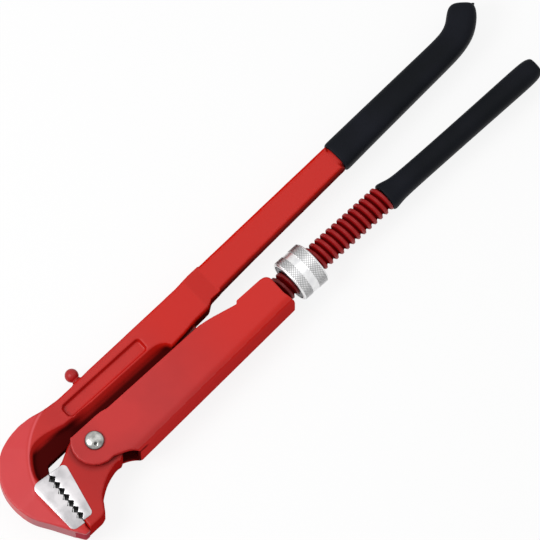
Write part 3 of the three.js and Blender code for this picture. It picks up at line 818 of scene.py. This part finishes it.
# Painted shade: the rod is darker where it runs between the casing and the nut.
tint_where(red_rod, (0.08, 0.001, 0.002), 0.6, share_along(red_rod, "X", 153, 150))
# Painted shade: the thread's roots take the glossless copy.
lay_paint(
    short_arm, red_rod,
    lambda place, normal: math.hypot(place.y, place.z) < thread_root + 0.8 and place.x > 140,
)
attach(short_arm, "short_arm")
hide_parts("short_arm")

# ---- Dipped grips -------------------------------------------------------------------------------
# Both handles are dipped in soft black vinyl: thick, satin, a little lumpy, with a rolled edge
# where the dip ends and a drip at the tip that left the bath last.


def black_dip(name):
    """Soft black vinyl from a dipping bath, slightly lumpy, with a soft sheen."""
    vinyl = bpy.data.materials.new(name)
    vinyl.use_nodes = True
    tree = vinyl.node_tree
    skin = tree.nodes["Principled BSDF"]
    skin.inputs["Specular IOR Level"].default_value = 0.06
    where = tree.nodes.new("ShaderNodeTexCoord")
    cloud = tree.nodes.new("ShaderNodeTexNoise")
    cloud.inputs["Scale"].default_value = 40
    cloud.inputs["Detail"].default_value = 4
    tint = tree.nodes.new("ShaderNodeValToRGB")
    tint.color_ramp.elements[0].position = 0.35
    tint.color_ramp.elements[0].color = (0.005, 0.006, 0.008, 1)
    tint.color_ramp.elements[1].position = 0.7
    tint.color_ramp.elements[1].color = (0.009, 0.01, 0.0145, 1)
    gloss = tree.nodes.new("ShaderNodeMapRange")
    gloss.inputs["To Min"].default_value = 0.42
    gloss.inputs["To Max"].default_value = 0.62
    grain = tree.nodes.new("ShaderNodeTexNoise")
    grain.inputs["Scale"].default_value = 900
    grain.inputs["Detail"].default_value = 3
    bump = tree.nodes.new("ShaderNodeBump")
    bump.inputs["Strength"].default_value = 0.16
    bump.inputs["Distance"].default_value = 0.00015
    tree.links.new(where.outputs["Object"], cloud.inputs["Vector"])
    tree.links.new(where.outputs["Object"], grain.inputs["Vector"])
    tree.links.new(cloud.outputs["Fac"], tint.inputs["Fac"])
    tree.links.new(tint.outputs["Color"], skin.inputs["Base Color"])
    tree.links.new(cloud.outputs["Fac"], gloss.inputs["Value"])
    tree.links.new(gloss.outputs["Result"], skin.inputs["Roughness"])
    tree.links.new(grain.outputs["Fac"], bump.inputs["Height"])
    tree.links.new(bump.outputs["Normal"], skin.inputs["Normal"])
    return vinyl


def dipped_sleeve(name, stations, squareness):
    """A closed sleeve through rings at (x, y, heading, half width, half thickness)."""
    bpy.ops.object.select_all(action="DESELECT")
    bpy.ops.mesh.primitive_circle_add(vertices=24, radius=1, fill_type="NGON")
    sleeve = bpy.context.object
    sleeve.name = name
    bpy.ops.object.mode_set(mode="EDIT")
    for place in range(len(stations)):
        if place:
            bpy.ops.mesh.extrude_region_move(TRANSFORM_OT_translate={"value": (0, 0, 0)})
        x, y, heading, wide, thick = stations[place]
        turn = math.radians(heading)
        net = bmesh.from_edit_mesh(sleeve.data)
        ring = [vert for vert in net.verts if vert.select]
        if not place:
            first = [(vert.co.x, vert.co.y) for vert in ring]
        for vert, (across, up) in zip(ring, first):
            across = math.copysign(abs(across) ** squareness, across) * wide
            up = math.copysign(abs(up) ** squareness, up) * thick
            vert.co = at(x - math.sin(turn) * across, y + math.cos(turn) * across, up)
        bmesh.update_edit_mesh(sleeve.data)
    bpy.ops.mesh.select_all(action="SELECT")
    bpy.ops.mesh.normals_make_consistent(inside=False)
    bpy.ops.object.mode_set(mode="OBJECT")
    rounder = sleeve.modifiers.new("rounder", "SUBSURF")
    rounder.levels = 2
    rounder.render_levels = 2
    bpy.ops.object.modifier_apply(modifier="rounder")
    bpy.ops.object.shade_smooth()
    return sleeve


long_grip = dipped_sleeve("long_arm_dipped_grip", (
    (209.4, 30, 2.4, 6.6, 5.4), (209.2, 30, 2.4, 7.5, 6.2), (210, 30.02, 2.4, 8.15, 6.8),
    (213, 30.15, 2.4, 8.1, 6.85), (225, 30.7, 2.4, 7.9, 6.8), (250, 31.7, 2.4, 7.6, 6.75),
    (272, 32.6, 2.4, 7.3, 6.7), (285.8, 33.1, 3, 7.15, 6.65), (291.5, 34.2, 14, 7.2, 6.65),
    (295.9, 35.8, 24, 7.4, 6.65), (299.2, 38.1, 32, 7.5, 6.65), (302.3, 40.7, 40, 7.35, 6.5),
    (304.3, 42.8, 48, 6.7, 6.2), (305.5, 44, 50, 5.5, 5.4), (306, 44.5, 50, 3.3, 3.9),
), 0.66)
bpy.ops.object.select_all(action="DESELECT")
bpy.ops.mesh.primitive_uv_sphere_add(segments=20, ring_count=12, radius=1)
drip = bpy.context.object
drip.scale = (0.0031, 0.0011, 0.0011)
drip.rotation_euler = (0, 0, math.radians(-8))
drip.location = at(307.4, 41.2, 0.6)
bpy.ops.object.transform_apply()
cut_with(long_grip, drip, "UNION")
bpy.ops.object.shade_smooth_by_angle(angle=math.radians(60))
grip_vinyl = black_dip("black_dip_vinyl")
long_grip.data.materials.append(grip_vinyl)
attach(long_grip, "long_arm")
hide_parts("long_arm_grip")

short_grip = dipped_sleeve("short_arm_dipped_grip", (
    (213.3, -0.5, 0, 6.1, 6), (213.05, -0.5, 0, 6.9, 6.7), (213.8, -0.6, 0, 7.5, 7.4),
    (216, -0.8, 0, 7.15, 7.2), (219, -1, 0, 6.4, 6.85), (223, -1.2, 0, 5.9, 6.4),
    (240, -1.4, 0, 5.75, 6.25), (262, -1.6, 0, 5.75, 6.2), (290, -1.8, 0, 5.85, 6.15),
    (305.6, -1.9, 0, 5.95, 6.1), (308.6, -1.9, 0, 5.3, 5.6), (310.5, -1.9, 0, 4.5, 4.9),
    (311.1, -1.9, 0, 3.6, 3.8),
), 0.8)
short_grip.data.materials.append(grip_vinyl)
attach(short_grip, "short_arm")
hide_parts("short_arm_grip")

# ---- Adjusting nut ------------------------------------------------------------------------------
# Turned steel, zinc plated: two diamond-knurled bands with a smooth band between them, broken
# edges, and a recess in the front face for the thrust ring.
nut_low, nut_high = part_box("adjusting_nut")
nut_start = (nut_low.x - zero.x) * 1000
nut_long = (nut_high.x - nut_low.x) * 1000
nut_radius = (nut_high.y - nut_low.y) * 500
knurl_row = 0.62
knurl_depth = 0.45
knurl_bands = ((0.9, 5.24), (nut_long - 5.86, nut_long - 0.9))
nut_bore = 7.4
recess_deep = 2.3
recess_radius = 9.9
nut_outline = [(0, recess_radius), (0, nut_radius - 0.75), (0.45, nut_radius - 0.4)]
for band_start, band_end in knurl_bands:
    rows = round((band_end - band_start) / knurl_row)
    nut_outline += [(band_start - 0.12, nut_radius - 0.3)]
    nut_outline += [
        (band_start + (band_end - band_start) * i / rows, nut_radius - 0.12)
        for i in range(rows + 1)
    ]
    nut_outline += [(band_end + 0.12, nut_radius - 0.3)]
nut_outline += [
    (nut_long - 0.45, nut_radius - 0.4), (nut_long, nut_radius - 0.75), (nut_long, 8),
    (nut_long - 0.6, nut_bore), (recess_deep, nut_bore), (recess_deep, recess_radius),
]
nut_steps = 108
nut = turned("adjusting_nut_knurled", nut_outline, "X", at(nut_start, 0), nut_steps, closed=True)
for vert in nut.data.vertices:
    spot = (vert.co - at(nut_start, 0)) * 1000
    radius = math.hypot(spot.y, spot.z)
    for band_start, band_end in knurl_bands:
        if radius > nut_radius - 0.2 and band_start - 0.01 <= spot.x <= band_end + 0.01:
            column = round(math.atan2(spot.z, spot.y) / (2 * math.pi) * nut_steps)
            row = round((spot.x - band_start) / knurl_row)
            new_radius = nut_radius if (column + row) % 2 else nut_radius - knurl_depth
            vert.co.y = zero.y + spot.y / radius * new_radius / 1000
            vert.co.z = zero.z + spot.z / radius * new_radius / 1000
bpy.ops.object.shade_smooth_by_angle(angle=math.radians(20))
plated = worn_steel("zinc_plate_steel", (0.84, 0.84, 0.84), (0.74, 0.74, 0.75), (0.28, 0.4))
# Painted shade: the knurl pits are painted near black.
for band_start, band_end in knurl_bands:
    band_from, band_to = nut_start + band_start, nut_start + band_end
    tint_where(
        plated, (0.08, 0.08, 0.08), 0.78,
        share_round(plated, 0, 0, nut_radius - 0.2, nut_radius - knurl_depth, around="X"),
        share_along(plated, "X", band_from - 0.2, band_from),
        share_along(plated, "X", band_to + 0.2, band_to),
    )
nut.data.materials.append(plated)
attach(nut, "adjusting_nut")
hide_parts("adjusting_nut")
